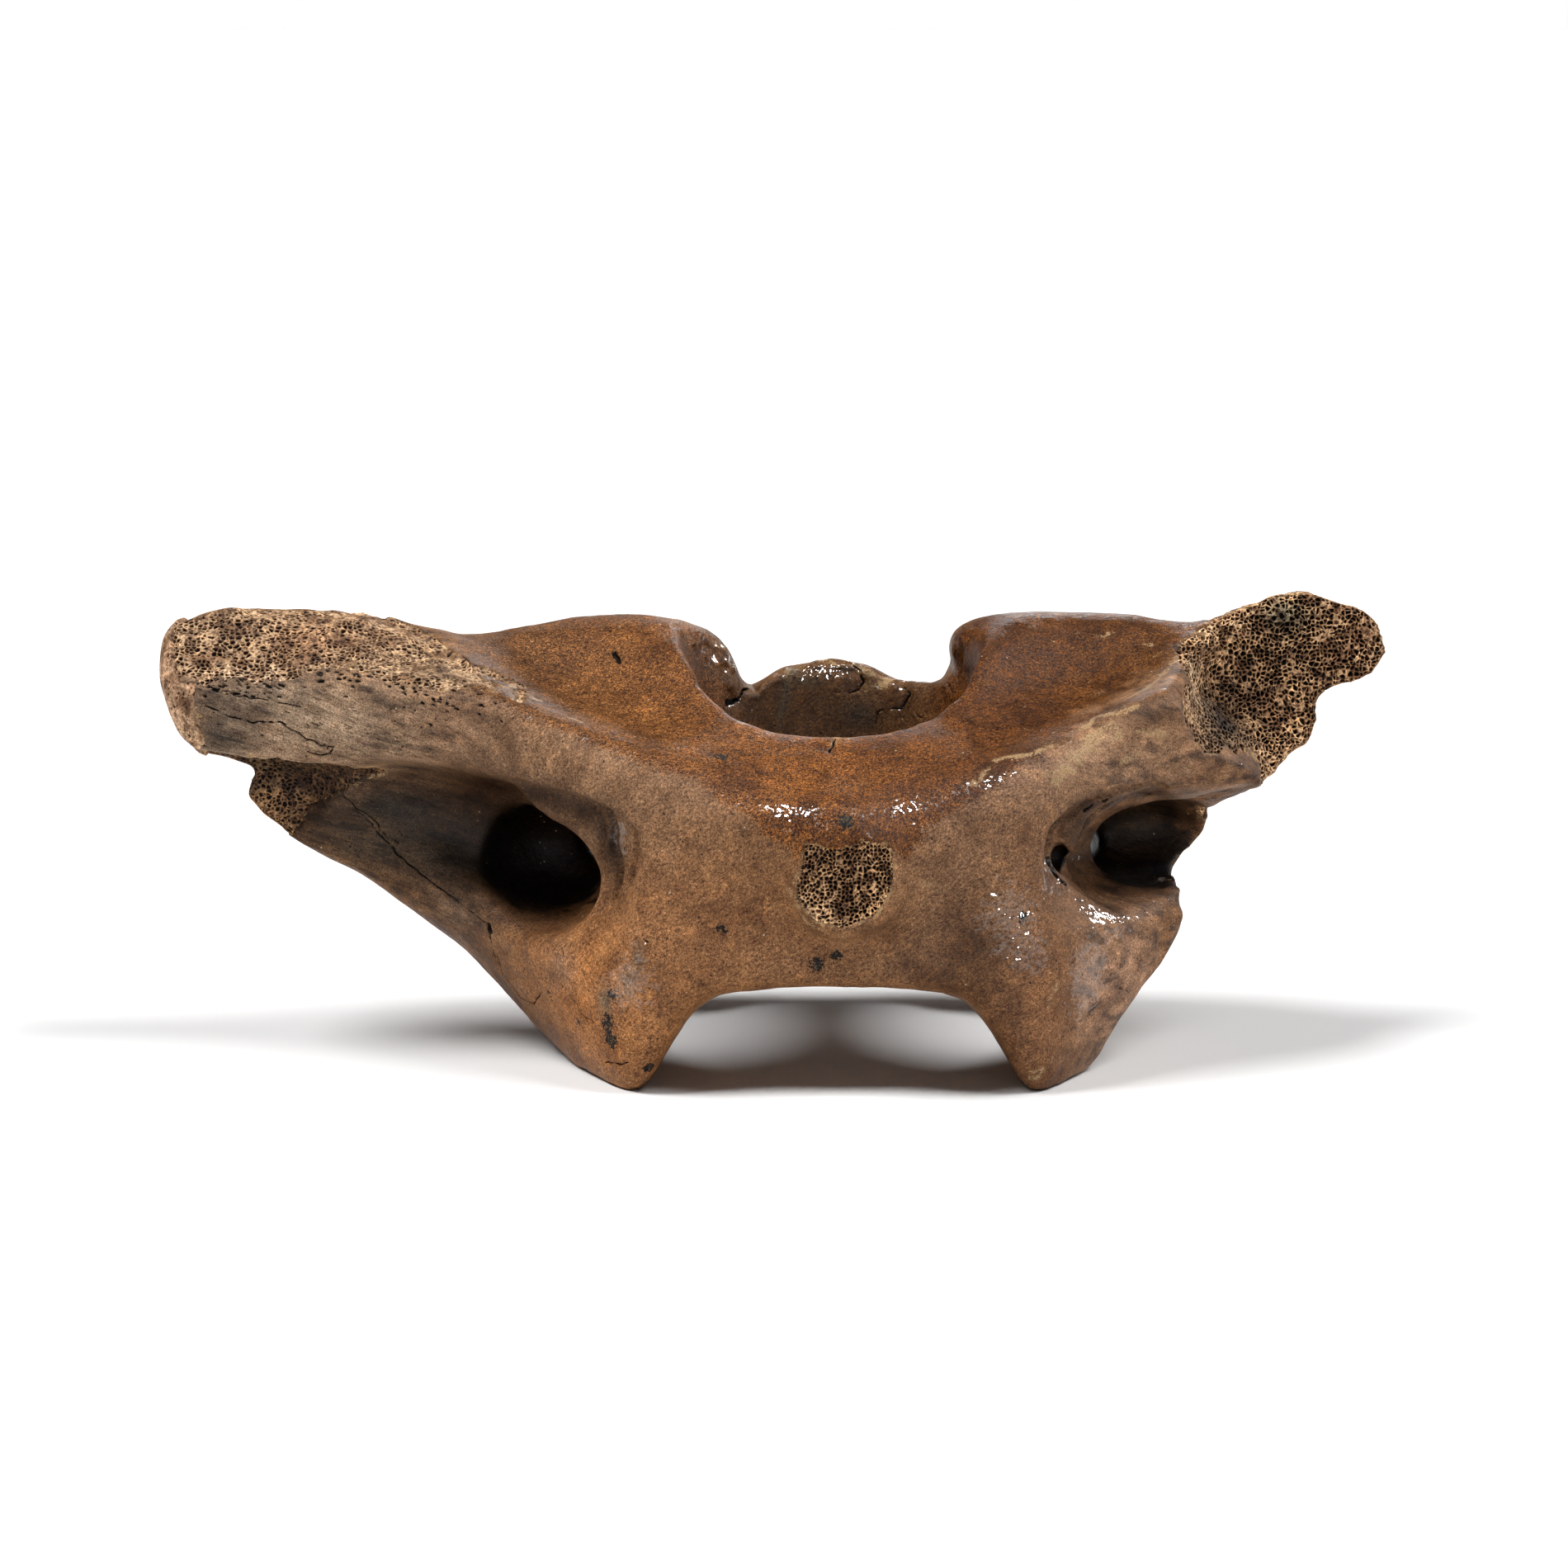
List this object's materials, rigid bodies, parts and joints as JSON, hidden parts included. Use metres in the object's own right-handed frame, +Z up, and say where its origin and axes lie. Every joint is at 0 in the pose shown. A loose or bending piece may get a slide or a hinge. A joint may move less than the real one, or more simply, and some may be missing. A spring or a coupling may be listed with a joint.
{
  "type": "fossil bison neck vertebra",
  "caption": "Fossil first neck bone (atlas) of a bison standing on its cranial joint cups: canal, broad joint face, side pockets and broken wings baring spongy bone.",
  "frame": {"origin": "middle of the footprint, on the floor that the feet stand on", "axes": "+X along the wings towards the short right wing, +Z up towards the bone's rear end, -Y towards the belly side that faces the viewer"},
  "size_m": [0.2302, 0.0928, 0.0846],
  "materials": {
    "fossil_bone": "brown mineralised bone under a patchy clear lacquer"
  },
  "bodies": {
    "root": {"vertebra": "fossil_bone"}
  },
  "joints": []
}
